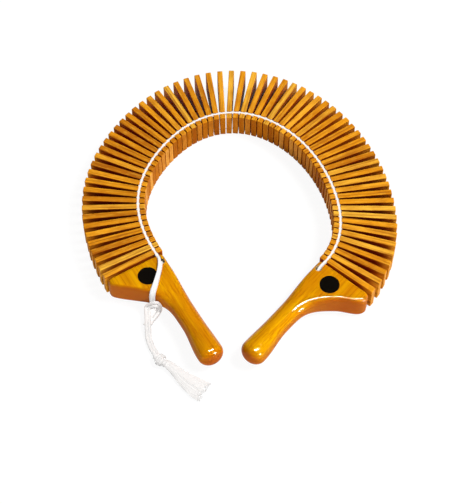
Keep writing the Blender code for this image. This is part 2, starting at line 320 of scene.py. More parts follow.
# Painted shade on the lacquer's sides, underside and knob end
AMBER_PAINTED_SHADE = (0.39, 0.078, 0.001, 1.0)
AMBER_VEIN = (0.45, 0.09, 0.001, 1.0)
SPOT_DARK = (0.004, 0.003, 0.002, 1.0)
BORE_DULL = (0.45, 0.36, 0.20, 1.0)
COTTON = (0.93, 0.922, 0.91, 1.0)
# A greyer tone of the same cotton, for the knots, the ends on the table and the tassel
COTTON_GREYER = (0.79, 0.773, 0.76, 1.0)
# Painted shade in the cotton's furrows, and the tone of its greyer fibres
COTTON_FIBRES_AND_SHADE = (0.72, 0.705, 0.69, 1.0)
TABLE_GREY = (0.7, 0.7, 0.7, 1.0)
WHITE = (1.0, 1.0, 1.0, 1.0)

# Table, light and camera, in metres
TABLE_HALF = 3.0
TABLE_DROP = 0.0004
TABLE_GLOW = 1.09
TABLE_GLOW_SHARE = 0.85
WORLD_STRENGTH = 0.08
CAMERA_PLACE = (-0.002844, -0.808810, 1.229670)
CAMERA_HEIGHT_DEGREES = 58
CAMERA_LENS = 99.17
CAMERA_SENSOR = 36.0
CAMERA_REACH = 20.0


def waves(heights, share):
    """Half waves that vanish at both ends of the chain: the sum of height n times sin(n pi share)."""
    order = np.arange(1, len(heights) + 1)
    return np.sin(np.pi * np.outer(share, order)) @ np.array(heights)


def smooth_step(value, start, end):
    """0 before start, 1 past end, and a cubic with level ends between them."""
    t = np.clip((value - start) / (end - start), 0, 1)
    return t * t * (3 - 2 * t)


def unit(vectors):
    """Vectors scaled to length 1."""
    return vectors / np.linalg.norm(vectors, axis=-1, keepdims=True)


def facing_at(share):
    """The way square to the chain at a share of it: an even turn through the spread, and the waves."""
    return FAN_MIDDLE + FAN_SPREAD * (0.5 - share) + waves(CORD_WAVES, share)


def chain(first, facing, pitch):
    """Plan points a pitch apart from a first one, each step square to its facing."""
    heading = np.radians(facing - 90)
    steps = pitch * np.column_stack((np.cos(heading), np.sin(heading)))
    return first + np.vstack((np.zeros(2), np.cumsum(steps, axis=0)))


def fan():
    """The axes between the slats, and the way each slat points: off the chain's facing by its own waves."""
    share = (np.arange(SLAT_COUNT) + 0.5) / SLAT_COUNT
    facing = facing_at(share)
    first = np.array(frame["joints"][0]["pos_m"][:2]) / MM
    return chain(first, facing, SLAT_PITCH), facing + waves(SLAT_WAVES, share)


def stand(points, at, degrees, mirror=False):
    """Points of a piece's own frame where the piece stands: turned about +Z and moved to a plan point."""
    turn = math.radians(degrees)
    x, y, z = np.moveaxis(np.asarray(points, float), -1, 0)
    y = -y if mirror else y
    across = at[0] + math.cos(turn) * x - math.sin(turn) * y
    along = at[1] + math.sin(turn) * x + math.cos(turn) * y
    return np.stack((across, along, z), axis=-1)


def grid_faces(rings, sides):
    """Quads between the rings of a closed skin, with a cap on each end ring."""
    ring, side = np.meshgrid(np.arange(rings - 1), np.arange(sides), indexing="ij")
    near = ring * sides + side
    next_to = ring * sides + (side + 1) % sides
    quads = np.stack((near, next_to, next_to + sides, near + sides), axis=-1).reshape(-1, 4)
    caps = [np.arange(sides)[::-1], np.arange(sides) + (rings - 1) * sides]
    return quads.tolist() + [cap.tolist() for cap in caps]


def signed_volume(points, faces):
    """Six times the volume inside the quads and caps, by fans of triangles from each face's first point."""
    total = 0.0
    for size in {len(face) for face in faces}:
        corners = points[np.array([face for face in faces if len(face) == size])]
        first, middle, last = corners[:, :1], corners[:, 1:-1], corners[:, 2:]
        total += np.sum(np.cross(middle, last) * first)
    return total


def mesh_from(name, grids):
    """One mesh from several closed skins, each a grid of rings, turned outwards."""
    points, faces, first = [], [], 0
    for grid in grids:
        rings, sides = grid.shape[:2]
        flat = grid.reshape(-1, 3)
        skin = grid_faces(rings, sides)
        if signed_volume(flat - flat.mean(axis=0), skin) < 0:
            skin = [face[::-1] for face in skin]
        faces += [[first + i for i in face] for face in skin]
        points.append(flat)
        first += len(flat)
    mesh = bpy.data.meshes.new(name)
    mesh.from_pydata((np.concatenate(points) * MM).tolist(), [], faces)
    mesh.shade_smooth()
    return mesh


def set_vectors(mesh, name, values):
    """A layer of one vector for each point of a mesh, which the finishes read by name."""
    layer = mesh.attributes.new(name, "FLOAT_VECTOR", "POINT")
    layer.data.foreach_set("vector", np.ascontiguousarray(values, np.float32).ravel())


def set_numbers(mesh, name, values):
    """A layer of one number for each point of a mesh, which the finishes read by name."""
    layer = mesh.attributes.new(name, "FLOAT", "POINT")
    layer.data.foreach_set("value", np.ascontiguousarray(values, np.float32).ravel())


def place_piece(mesh, material, body, slot, *nodes):
    """A finished piece: in the scene, riding its body, and standing for its solids."""
    piece = bpy.data.objects.new(mesh.name, mesh)
    bpy.context.scene.collection.objects.link(piece)
    mesh.materials.append(material)
    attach(piece, body)
    if nodes:
        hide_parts(*nodes)
    return piece


# Materials


def feed(tree, socket, value):
    """An input socket linked to another node's output, or set to a plain value."""
    if isinstance(value, bpy.types.NodeSocket):
        tree.links.new(value, socket)
    else:
        socket.default_value = value


def feed_all(tree, node, **sockets):
    """A node's inputs by name, with underscores for the spaces in the names."""
    for key, value in sockets.items():
        feed(tree, node.inputs[key.replace("_", " ")], value)


def add(tree, kind, settings=None, **sockets):
    """A shader node with its settings and its inputs."""
    made = tree.nodes.new(kind)
    for key, value in (settings or {}).items():
        setattr(made, key, value)
    feed_all(tree, made, **sockets)
    return made


def mixed(tree, share, first, second):
    """Two colours mixed by a share."""
    made = add(tree, "ShaderNodeMix", {"data_type": "RGBA"})
    for index, value in ((0, share), (6, first), (7, second)):
        feed(tree, made.inputs[index], value)
    return made.outputs[2]


def mapped(tree, value, low, high, to_low=0.0, to_high=1.0):
    """A value's range carried over to another range, and held at its ends."""
    sockets = {"From_Min": low, "From_Max": high, "To_Min": to_low, "To_Max": to_high}
    return add(tree, "ShaderNodeMapRange", {"clamp": True}, Value=value, **sockets).outputs["Result"]


def tinted(tree, colour, tint, value, low, high, most=1.0):
    """A colour that goes over to a tint, by the share most at the end, as a value goes from low to high."""
    return mixed(tree, mapped(tree, value, low, high, 0.0, most), colour, tint)


def calculated(tree, operation, first, second):
    """Two numbers put together by an operation."""
    made = add(tree, "ShaderNodeMath", {"operation": operation})
    for index, value in enumerate((first, second)):
        feed(tree, made.inputs[index], value)
    return made.outputs[0]


def stretched_noise(tree, where, scale, detail=3.0, distortion=0.0):
    """Noise whose cells are drawn out: scale holds the number of cells in one unit along each axis."""
    vector = add(tree, "ShaderNodeMapping", Vector=where, Scale=scale).outputs["Vector"]
    sockets = {"Scale": 1.0, "Detail": detail, "Roughness": 0.55, "Distortion": distortion}
    return add(tree, "ShaderNodeTexNoise", Vector=vector, **sockets).outputs["Fac"]


def start_material(name):
    """A new material with its node tree and its surface shader."""
    made = bpy.data.materials.new(name)
    made.use_nodes = True
    return made, made.node_tree, made.node_tree.nodes["Principled BSDF"]


def read(tree, name, output="Vector"):
    """A layer of the mesh that a finish follows."""
    return add(tree, "ShaderNodeAttribute", {"attribute_name": name}).outputs[output]


def three_tones(tree, share, dark, middle, pale):
    """A colour from dark over a middle one to pale, as the share goes from 0 to 1."""
    ramp = add(tree, "ShaderNodeValToRGB", Fac=share)
    stops = ramp.color_ramp.elements
    stops[0].color = dark
    stops[1].color = pale
    stops.new(0.5).color = middle
    return ramp.outputs["Color"]


def varnished_slat():
    """Honey wood: a shade for each slat, veins and flecks along it, other tones on its ends, painted shade on
    its sides.
    """
    made, tree, shader = start_material("varnished_slat")
    grain = read(tree, "grain")
    veins = stretched_noise(tree, grain, VEIN_CELLS, 4.0, 0.5)
    clouds = stretched_noise(tree, grain, CLOUD_CELLS, 3.0, 0.5)
    flecks = stretched_noise(tree, grain, FLECK_CELLS, 2.0)
    rings = stretched_noise(tree, grain, RING_CELLS, 2.0)
    board = three_tones(tree, read(tree, "shade", "Fac"), WOOD_WARM, WOOD_HONEY, WOOD_PALE)
    clouded = tinted(tree, board, WOOD_WARM, clouds, 0.42, 0.68, 0.55)
    flecked = tinted(tree, clouded, WOOD_PALE, flecks, 0.50, 0.68, 0.35)
    veined = tinted(tree, flecked, WOOD_VEIN, veins, 0.47, 0.68, 0.7)
    cut_end = three_tones(tree, read(tree, "end_shade", "Fac"), END_DARK, END_HONEY, END_PALE)
    ringed = tinted(tree, cut_end, WOOD_VEIN, rings, 0.35, 0.7, 0.5)
    ended = tinted(tree, veined, ringed, read(tree, "end_grain", "Fac"), 0.6, 0.95)
    along = add(tree, "ShaderNodeSeparateXYZ", Vector=read(tree, "own")).outputs["X"]
    # Painted shade on the broad sides: dark from the inner end on, lighter towards the outer end
    start, end = (reach * MM for reach in PAINTED_SHADE_SPAN)
    on_side = mapped(tree, read(tree, "broad", "Fac"), 0.7, 1.0)
    painted_gap_shade = calculated(tree, "MULTIPLY", on_side, mapped(tree, along, start, end, *PAINTED_SHADE_SHARES))
    bump = add(tree, "ShaderNodeBump", Height=veins, Strength=0.25, Distance=0.0002)
    feed_all(
        tree,
        shader,
        Base_Color=mixed(tree, painted_gap_shade, ended, WOOD_PAINTED_SHADE),
        Roughness=mapped(tree, veins, 0.3, 0.8, 0.40, 0.55),
        Normal=bump.outputs["Normal"],
        Specular_IOR_Level=0.01,
    )
    return made


def distance_in_plan(tree, place, centre):
    """How far a place lies from an upright line through a plan point given in millimetres."""
    sides = [calculated(tree, "SUBTRACT", place[axis], value * MM) for axis, value in zip("XY", centre)]
    squares = [calculated(tree, "MULTIPLY", side, side) for side in sides]
    return calculated(tree, "SQRT", calculated(tree, "ADD", *squares), 0.0)


def amber_lacquer():
    """Clear lacquer over amber wood: streaks along the grip, a dark spot on the head, a dull cord hole,
    painted shade on the sides and the knob's end.
    """
    made, tree, shader = start_material("amber_lacquer")
    grain = read(tree, "grain")
    bands = stretched_noise(tree, grain, BAND_CELLS, 2.0, 0.4)
    streaks = stretched_noise(tree, grain, STREAK_CELLS, 3.0, 0.3)
    pores = stretched_noise(tree, grain, PORE_CELLS, 1.0)
    facing = add(tree, "ShaderNodeSeparateXYZ", Vector=read(tree, "facing")).outputs
    light = calculated(tree, "ADD", mapped(tree, bands, 0.35, 0.65), read(tree, "tone", "Fac"))
    banded = mixed(tree, light, AMBER, AMBER_LIGHT)
    # Painted shade: faces that turn away from the top go over to a darker red amber
    side_shaded = tinted(tree, banded, AMBER_PAINTED_SHADE, facing["Z"], 0.8, 0.3, 0.75)
    # Painted shade on the knob's end
    tip_shaded = tinted(tree, side_shaded, AMBER_PAINTED_SHADE, facing["Y"], 0.35, 0.9, 0.85)
    off_tip = mapped(tree, facing["Y"], 0.35, 0.75, 1.0, 0.12)
    veins = calculated(tree, "MULTIPLY", mapped(tree, streaks, 0.47, 0.68, 0.0, 0.6), off_tip)
    veined = mixed(tree, veins, tip_shaded, AMBER_VEIN)
    specks = calculated(tree, "MULTIPLY", mapped(tree, pores, 0.55, 0.72, 0.0, 0.35), off_tip)
    pored = mixed(tree, specks, veined, AMBER_VEIN)
    place = add(tree, "ShaderNodeSeparateXYZ", Vector=grain).outputs
    from_spot = distance_in_plan(tree, place, SPOT_CENTRE)
    in_spot = mapped(tree, from_spot, SPOT_RADIUS * MM, (SPOT_RADIUS - SPOT_EDGE) * MM)
    on_top = mapped(tree, place["Z"], *((SLAT_HEIGHT - depth) * MM for depth in SPOT_DEPTHS))
    spotted = mixed(tree, calculated(tree, "MULTIPLY", in_spot, on_top), pored, SPOT_DARK)
    from_hole = distance_in_plan(tree, place, (0.0, HOLE_DEPTH))
    in_hole = mapped(tree, from_hole, *((HOLE_DIAMETER / 2 + edge) * MM for edge in BORE_EDGES))
    upper_coat = mapped(tree, facing["Z"], 0.1, 0.6, 0.35, 1.0)
    lower_coat = mapped(tree, facing["Z"], -0.1, -0.6, 0.0, 0.65)
    feed_all(
        tree,
        shader,
        Base_Color=mixed(tree, in_hole, spotted, BORE_DULL),
        Roughness=mapped(tree, streaks, 0.3, 0.8, 0.34, 0.44),
        Specular_IOR_Level=0.0,
        Coat_Weight=calculated(tree, "ADD", upper_coat, lower_coat),
        Coat_IOR=1.22,
        Coat_Roughness=0.04,
    )
    return made


def cotton(name, tone):
    """Soft cotton of one tone, with painted shade in the furrows of the lay, over the tassel's body and on
    the undersides of its yarns, and greyer on some of its fibres.
    """
    made, tree, shader = start_material(name)
    fibres = stretched_noise(tree, read(tree, "lay"), FIBRE_CELLS, 2.0, 0.6)
    # Painted shade in the furrows
    furrow_shaded = tinted(tree, tone, COTTON_FIBRES_AND_SHADE, read(tree, "furrow", "Fac"), 0.0, 1.0, 0.35)
    bump = add(tree, "ShaderNodeBump", Height=fibres, Strength=0.1, Distance=0.0003)
    feed_all(
        tree,
        shader,
        Base_Color=tinted(tree, furrow_shaded, COTTON_FIBRES_AND_SHADE, fibres, 0.45, 0.75, 0.25),
        Normal=bump.outputs["Normal"],
        Roughness=0.9,
        Specular_IOR_Level=0.15,
        Sheen_Weight=1.0,
        Sheen_Roughness=0.4,
    )
    return made


# Slats


def arc(centre_x, centre_z, radius, start, end, count=CORNER_POINTS, inward=False):
    """Points and outward normals of an arc, from one angle to another in degrees."""
    turn = np.radians(np.linspace(start, end, count))
    normals = np.column_stack((np.cos(turn), np.sin(turn)))
    points = np.array((centre_x, centre_z)) + radius * normals
    return points, -normals if inward else normals


def slat_outline(length):
    """The slat's side outline: a rectangle with round corners and a round-bottomed notch above and below."""
    inner, outer = -INNER_END, length - INNER_END
    low, high = END_ROUNDING, SLAT_HEIGHT - END_ROUNDING
    bottom = NOTCH_DEPTH - NOTCH_HALF
    lip = NOTCH_HALF + NOTCH_LIP
    lower = [
        arc(inner + END_ROUNDING, low, END_ROUNDING, 180, 270),
        arc(-lip, NOTCH_LIP, NOTCH_LIP, 270, 360, LIP_POINTS),
        arc(0, bottom, NOTCH_HALF, 180, 0, NOTCH_POINTS, inward=True),
        arc(lip, NOTCH_LIP, NOTCH_LIP, 180, 270, LIP_POINTS),
        arc(outer - END_ROUNDING, low, END_ROUNDING, 270, 360),
    ]
    upper = [
        arc(outer - END_ROUNDING, high, END_ROUNDING, 0, 90),
        arc(lip, SLAT_HEIGHT - NOTCH_LIP, NOTCH_LIP, 90, 180, LIP_POINTS),
        arc(0, SLAT_HEIGHT - bottom, NOTCH_HALF, 0, -180, NOTCH_POINTS, inward=True),
        arc(-lip, SLAT_HEIGHT - NOTCH_LIP, NOTCH_LIP, 0, 90, LIP_POINTS),
        arc(inner + END_ROUNDING, high, END_ROUNDING, 90, 180),
    ]
    points, normals = zip(*(lower + upper))
    return np.concatenate(points), np.concatenate(normals)


def slat_grid(length):
    """A slat's skin: its outline carried across the thickness, drawn in on quarter circles at both faces.

    Each ring is the outline less the rounding times one minus the cosine of its turn, along the outline's
    normals, and its own normal turns from the outline's to the face's.
    """
    points, normals = slat_outline(length)
    turn = np.radians(np.concatenate((np.linspace(-90, 0, EDGE_RINGS), np.linspace(0, 90, EDGE_RINGS))))
    side = np.repeat((-1.0, 1.0), EDGE_RINGS)
    across = side * (SLAT_THICKNESS / 2 - EDGE_ROUNDING) + EDGE_ROUNDING * np.sin(turn)
    inset = EDGE_ROUNDING * (1 - np.cos(turn))
    ring = points[None] - inset[:, None, None] * normals[None]
    grid = np.stack((ring[..., 0], np.broadcast_to(across[:, None], ring.shape[:2]), ring[..., 1]), axis=-1)
    face = np.broadcast_to(np.sin(turn)[:, None], ring.shape[:2])
    bent = np.cos(turn)[:, None, None] * normals[None]
    return grid, np.stack((bent[..., 0], face, bent[..., 1]), axis=-1)


def slat_shade(number):
    """How pale a slat is: a little chance around the middle, and a few listed pale and warm slats."""
    chance = RNG.normal(0.0, SHADE_SPREAD)
    if number in PALE_SLATS:
        return PALE_SHADE + PICKED_SPREAD * chance
    if number in WARM_SLATS:
        return WARM_SHADE + PICKED_SPREAD * chance
    return HONEY_SHADE + chance


def node_of(index):
    """The solid that holds a slat, and the first and the last slat that it holds."""
    first = index - 1 if index % RUN == SHARED_AT + 1 else index
    last = first + 1 if first % RUN == SHARED_AT and first + 1 < SLAT_COUNT else first
    return "slat_" + "_".join(f"{n + 1:02d}" for n in range(first, last + 1)), first, last


def make_slats(axes, pointing, material):
    """All slats, each halfway between its two axes, with a length, a shade and a grain of its own."""
    for index in range(SLAT_COUNT):
        name = f"slat_board_{index + 1:02d}"
        length = SLAT_LENGTH + RNG.uniform(*LENGTH_PLAY)
        grid, normals = slat_grid(length)
        middle = (axes[index] + axes[index + 1]) / 2
        mesh = mesh_from(name, [stand(grid, middle, pointing[index])])
        turned = stand(normals, (0, 0), pointing[index]).reshape(-1, 3)
        mesh.normals_split_custom_set_from_vertices(unit(turned).tolist())
        shift = RNG.uniform(-GRAIN_SHIFT, GRAIN_SHIFT, 3)
        own = grid.reshape(-1, 3) * MM
        set_vectors(mesh, "own", own)
        set_vectors(mesh, "grain", own + shift)
        set_numbers(mesh, "shade", np.full(len(own), slat_shade(index + 1)))
        # Painted light on the inner end, lighter towards both ends of the row
        painted_end_light = INNER_END_PAINTED_LIGHT * abs(2 * (index + 0.5) / SLAT_COUNT - 1)
        inner_shade = painted_end_light + INNER_END_SPREAD * RNG.beta(*INNER_END_BETA)
        set_numbers(mesh, "end_shade", np.where(normals[..., 0] < 0, inner_shade, OUTER_END_SHADE))
        set_numbers(mesh, "end_grain", np.abs(normals[..., 0]))
        set_numbers(mesh, "broad", np.abs(normals[..., 1]))
        node, _, _ = node_of(index)
        place_piece(mesh, material, node, "slat_wood", node)


# Cord


def run_along(path):
    """How far each point of a path lies along it from its start."""
    return np.concatenate(((0,), np.cumsum(np.linalg.norm(np.diff(path, axis=0), axis=1))))


def rope(path, level, radius, start=0.0, swell=None):
    """A laid cord along a path: circles square to it, with strands that wind round once in each lay length.

    The radius is the cord's own times one less the lay's depth times one minus the cosine of the strands'
    angle, which turns with the run along the path, and times the swell given for each point. The rings start
    from the level direction, and the turn that this adds between them is taken out again.
    """
    path = np.asarray(path, float)
    along = unit(np.gradient(path, axis=0))
    level = np.broadcast_to(np.asarray(level, float), path.shape)
    side = unit(level - along * np.sum(level * along, axis=-1, keepdims=True))
    up = np.cross(along, side)
    lean = np.sum(side[:-1] * along[1:], axis=1) / (1 + np.sum(along[:-1] * along[1:], axis=1))
    carried = side[:-1] - lean[:, None] * (along[:-1] + along[1:])
    sine = np.sum(np.cross(carried, side[1:]) * along[1:], axis=1)
    slip = np.arctan2(sine, np.sum(carried * side[1:], axis=1))
    undo = np.concatenate(((0,), -np.cumsum(slip)))
    run = start + run_along(path)
    turn = np.linspace(0, 2 * np.pi, CORD_SIDES, endpoint=False)
    wound = LAY_STRANDS * (turn[None] - 2 * np.pi * run[:, None] / LAY_LENGTH)
    swell = np.ones(len(path)) if swell is None else np.asarray(swell, float)
    reach = radius * (1 - LAY_DEPTH * (1 - np.cos(wound))) * swell[:, None]
    at = (turn[None] + undo[:, None])[..., None]
    grid = path[:, None] + reach[..., None] * (np.cos(at) * side[:, None] + np.sin(at) * up[:, None])
    around = wound / (2 * np.pi * LAY_STRANDS)
    lay = np.stack(np.broadcast_arrays(around, run[:, None] * LAY_SCALE, 0.0), axis=-1)
    # The last part is painted shade, strongest in the furrows between the strands
    return grid, lay, (1 - np.cos(wound)) / 2


def make_rope(name, ropes, material, body, *nodes):
    """One piece from one or more laid cords."""
    mesh = mesh_from(name, [grid for grid, _, _ in ropes])
    set_vectors(mesh, "lay", np.concatenate([lay.reshape(-1, 3) for _, lay, _ in ropes]))
    set_numbers(mesh, "furrow", np.concatenate([furrow.ravel() for _, _, furrow in ropes]))
    return place_piece(mesh, material, body, "cord_cotton", *nodes)


def cord_line(axes):
    """The cord's plan line: a fine chain drawn through the axes, with a few spare points past both ends."""
    fine = np.linspace(0, SLAT_COUNT, SLAT_COUNT * CORD_STEPS + 1)
    share = (fine[:-1] + fine[1:]) / 2 / SLAT_COUNT
    line = chain(axes[0], facing_at(share), SLAT_PITCH / CORD_STEPS)
    drift = axes - line[::CORD_STEPS]
    at_axes = np.arange(SLAT_COUNT + 1)
    line = line + np.column_stack([np.interp(fine, at_axes, drift[:, i]) for i in (0, 1)])
    spare = np.arange(1, CORD_OVERLAP + 1)[:, None]
    before = line[0] + (line[0] - line[1]) * spare[::-1]
    after = line[-1] + (line[-1] - line[-2]) * spare
    return np.vstack((before, line, after))


def make_strung_cord(axes, material):
    """The upper and lower cord, cut at the axes between the solids, with lengths that taper into each other.

    The upper cord swells between the slats by a raised cosine to a power, and is pinched in the notches.
    """
    line = cord_line(axes)
    index = 0
    while index < SLAT_COUNT:
        node, first, last = node_of(index)
        begin, end = first * CORD_STEPS, (last + 1) * CORD_STEPS + 2 * CORD_OVERLAP
        plan = line[begin : end + 1]
        between = np.cos(2 * np.pi * (np.arange(len(plan)) - CORD_OVERLAP) / CORD_STEPS)
        free = ((1 + between) / 2) ** BULGE_EASE
        ropes = []
        for height, bulge in ((CORD_TOP, CORD_BULGE), (CORD_BOTTOM, CORD_PINCH)):
            swell = CORD_PINCH + (bulge - CORD_PINCH) * free
            for step, tip in enumerate(CORD_TIPS):
                swell[[step, -1 - step]] *= tip
            path = np.column_stack((plan, np.full(len(plan), height)))
            ropes.append(rope(path, UP, CORD_RADIUS, first * SLAT_PITCH, swell))
        make_rope(f"strung_cord_{first + 1:02d}", ropes, material, node)
        index = last + 1


def curve_through(points, step):
    """Points about a step apart on the Catmull-Rom curve through a route's own points."""
    points = np.asarray(points, float)
    ends = np.vstack((2 * points[0] - points[1], points, 2 * points[-1] - points[-2]))
    found = []
    for a, b, c, d in zip(ends, ends[1:], ends[2:], ends[3:]):
        t = np.linspace(0, 1, max(2, round(np.linalg.norm(c - b) / step) + 1))[:-1, None]
        bent = (2 * a - 5 * b + 4 * c - d) * t**2 + (3 * b - a - 3 * c + d) * t**3
        found.append(b + ((c - a) * t + bent) / 2)
    return np.vstack((*found, points[-1:]))


# Handles


def handle_grid(lobe):
    """A handle's skin: rounded rectangles along its depth, from the wide head to the round grip and its knob.

    With t going from 0 at the lobe to 1 at the shoulder's end, the outer side falls to the grip by
    1 - (1 - t^sweep)^ease of the way, round at first and hollow after, and the lobe's swell is added there
    between two smooth steps. The inner side goes over to the grip on a smooth step, the height and the
    corners on another, until the section is a circle. The rings shrink on quarter circles over the face's
    fillet and the knob's round end.
    """
    end = FACE_DEPTH + HANDLE_LENGTH
    face = FACE_DEPTH + HEAD_FILLET * (1 - np.cos(np.linspace(0, np.pi / 2, FACE_RINGS)))
    body = np.linspace(FACE_DEPTH + HEAD_FILLET, end - KNOB_ROUNDING, BODY_RINGS)
    tip = end - KNOB_ROUNDING * (1 - np.sin(np.linspace(0, TIP_TURN * np.pi, TIP_RINGS)))
    depth = np.concatenate((face, body[1:], tip[1:]))
    grip = GRIP_DIAMETER / 2
    axis = GRIP_OFFSET + (KNOB_OFFSET - GRIP_OFFSET) * smooth_step(depth, NECK_END, KNOB_FULL)
    sweep = np.clip((depth - LOBE_DEPTH) / (SHOULDER_DEPTH - LOBE_DEPTH), 0, 1) ** SHOULDER_SWEEP
    outer = HEAD_REACH + (axis + grip - HEAD_REACH) * (1 - (1 - sweep) ** SHOULDER_EASE)
    start, top, stop = LOBE_SWELL_SPAN
    outer = outer + lobe * smooth_step(depth, start, top) * (1 - smooth_step(depth, top, stop))
    neck = smooth_step(depth, NECK_START, NECK_END)
    thin = smooth_step(depth, THIN_START, THIN_END)
    inner = -HEAD_INSET + (axis - grip + HEAD_INSET) * neck
    swell = (KNOB_DIAMETER / 2 - grip) * smooth_step(depth, KNOB_START, KNOB_FULL)
    half_width = (outer - inner) / 2 + swell
    half_height = SLAT_HEIGHT / 2 + (grip - SLAT_HEIGHT / 2) * thin + swell
    corner = HEAD_ROUNDING + (grip - HEAD_ROUNDING) * thin + swell
    fillet_left = np.clip(HEAD_FILLET - (depth - FACE_DEPTH), 0, HEAD_FILLET)
    inset = HEAD_FILLET - np.sqrt(HEAD_FILLET**2 - fillet_left**2)
    end_left = np.clip(KNOB_ROUNDING - (end - depth), 0, KNOB_ROUNDING)
    shrink = np.sqrt(1 - (end_left / KNOB_ROUNDING) ** 2)
    half_width = (half_width - inset) * shrink
    half_height = (half_height - inset) * shrink
    corner = np.minimum(np.maximum(corner - inset, HEAD_FILLET / 2) * shrink, half_height)
    corner = np.minimum(corner, half_width)
    middle = (outer + inner) / 2
    bend = np.linspace(0, np.pi / 2, CORNER_STEPS)
    turn = np.concatenate([bend + q * np.pi / 2 for q in range(4)])
    side_x = np.repeat((1, -1, -1, 1), len(bend))
    side_z = np.repeat((1, 1, -1, -1), len(bend))
    x = middle[:, None] + side_x * (half_width - corner)[:, None] + corner[:, None] * np.cos(turn)
    z = SLAT_HEIGHT / 2 + side_z * (half_height - corner)[:, None] + corner[:, None] * np.sin(turn)
    return np.stack((x, np.broadcast_to(depth[:, None], x.shape), z), axis=-1)


def prism(outline, start, end, axis):
    """A prism's skin: a flat outline carried straight along one axis."""
    flat = np.asarray(outline, float)
    order = {"y": (0, 2, 1), "z": (0, 1, 2)}[axis]
    rings = [np.column_stack((flat, np.full(len(flat), stop))) for stop in (start, end)]
    return np.stack(rings)[..., order]


def handle_cuts():
    """The upright cord hole, and the round-bottomed grooves that lead the cord to it above and below."""
    turn = np.linspace(0, 2 * np.pi, HOLE_SIDES, endpoint=False)
    hole = np.column_stack((np.cos(turn), np.sin(turn))) * HOLE_DIAMETER / 2 + (0, HOLE_DEPTH)
    bowl = np.linspace(-np.pi, 0, CORNER_STEPS)
    groove = np.column_stack((np.cos(bowl), np.sin(bowl))) * GROOVE_HALF + (0, GROOVE_FLOOR + GROOVE_HALF)
    groove = np.vstack((groove, ((GROOVE_HALF, 2 * SLAT_HEIGHT), (-GROOVE_HALF, 2 * SLAT_HEIGHT))))
    below = groove * (1, -1) + (0, SLAT_HEIGHT)
    return [
        prism(hole, -CUT_PAST, SLAT_HEIGHT + CUT_PAST, "z"),
        prism(groove, FACE_PAST, HOLE_DEPTH, "y"),
        prism(below, FACE_PAST, HOLE_DEPTH, "y"),
    ]


def cut(mesh, cutters):
    """A mesh less the cutters, by exact Booleans."""
    scene = bpy.context.scene.collection.objects
    target = bpy.data.objects.new(mesh.name + "_blank", mesh)
    scene.link(target)
    helpers = []
    for grid in cutters:
        helper = bpy.data.objects.new("cutter", mesh_from("cutter", [grid]))
        scene.link(helper)
        helpers.append(helper)
        modifier = target.modifiers.new("cut", "BOOLEAN")
        modifier.operation = "DIFFERENCE"
        modifier.solver = "EXACT"
        modifier.object = helper
    graph = bpy.context.evaluated_depsgraph_get()
    made = bpy.data.meshes.new_from_object(target.evaluated_get(graph))
    for thing in (target, *helpers):
        bpy.data.objects.remove(thing, do_unlink=True)
    return made


def make_handle(side, at, degrees, material, mirror=False):
    """A carved handle, cut in its own frame and then stood in its place."""
    made = cut(mesh_from(side, [handle_grid(LOBE_SWELLS[side])]), handle_cuts())
    made.name = side + "_handle_carved"
    flat = np.empty(len(made.vertices) * 3)
    made.vertices.foreach_get("co", flat)
    own = flat.reshape(-1, 3)
    set_vectors(made, "grain", own)
    flat_normals = np.empty(len(made.vertices) * 3)
    made.vertex_normals.foreach_get("vector", flat_normals)
    set_vectors(made, "facing", flat_normals)
    head_tone, grip_tone = HANDLE_TONES[side]
    on_grip = smooth_step(own[:, 1] / MM, THIN_START, NECK_END)
    set_numbers(made, "tone", head_tone + (grip_tone - head_tone) * on_grip)
    placed = stand(own / MM, at, degrees, mirror) * MM
    made.vertices.foreach_set("co", placed.ravel())
    if mirror:
        made.flip_normals()
    made.materials.clear()
    made.shade_smooth()
    made.set_sharp_from_angle(angle=math.radians(SHARP_DEGREES))
    made.update()
    return place_piece(made, material, side + "_handle", "handle_wood", side + "_handle")


def right_turn():
    """The cord at the right handle: in along the upper groove, down the hole, back along the lower groove."""
    upper = [(0, -0.9, CORD_TOP), (0, 3.0, CORD_TOP), (0, HOLE_DEPTH - TURN_BEND, CORD_TOP - 0.2)]
    upper += [(0, HOLE_DEPTH - 0.9, CORD_TOP - 1.6), (0, HOLE_DEPTH + 0.4, CORD_TOP - 5.0)]
    upper += [(0, HOLE_DEPTH + 0.5, SLAT_HEIGHT / 2 + 4.0)]
    lower = [(x, y, SLAT_HEIGHT - z) for x, y, z in reversed(upper)]
    return curve_through(upper + lower, ROUTE_STEP)


def left_turn():
    """The cord at the left handle below: in along the lower groove and up the hole."""
    points = [(0, -0.9, CORD_BOTTOM), (0, 3.0, CORD_BOTTOM), (0, HOLE_DEPTH - TURN_BEND, CORD_BOTTOM + 0.2)]
    points += [(0, HOLE_DEPTH - 0.9, CORD_BOTTOM + 1.6), (0, HOLE_DEPTH + 0.2, CORD_BOTTOM + 5.0)]
    points += [(0, HOLE_DEPTH + 0.3, 15.0), STRAND_B[0]]
    return curve_through(points, ROUTE_STEP)


def make_cord_turn(side, route, at, degrees, material, mirror=False):
    """The cord in a handle's grooves and hole, along a route in the handle's frame."""
    path = stand(route, at, degrees, mirror)
    sideways = stand((1.0, 0.0, 0.0), (0, 0), degrees)
    laid = [rope(path, sideways, CORD_RADIUS)]
    make_rope(side + "_cord_turn_laid", laid, material, side + "_handle", side + "_cord_turn")


# Tail


def aside(path, distance):
    """A path moved sideways, level with the table and square to its run."""
    along = np.gradient(path, axis=0)
    return path + distance * unit(np.cross(UP, along))


def sunk_ends(path, last=True):
    """A cord's swell where its start, and its end too if last is set, goes into another cord."""
    run = run_along(path)
    near = np.minimum(run, run[-1] - run) if last else run
    return SUNK_SHARE + (1 - SUNK_SHARE) * smooth_step(near, 0.0, SUNK_RUN)


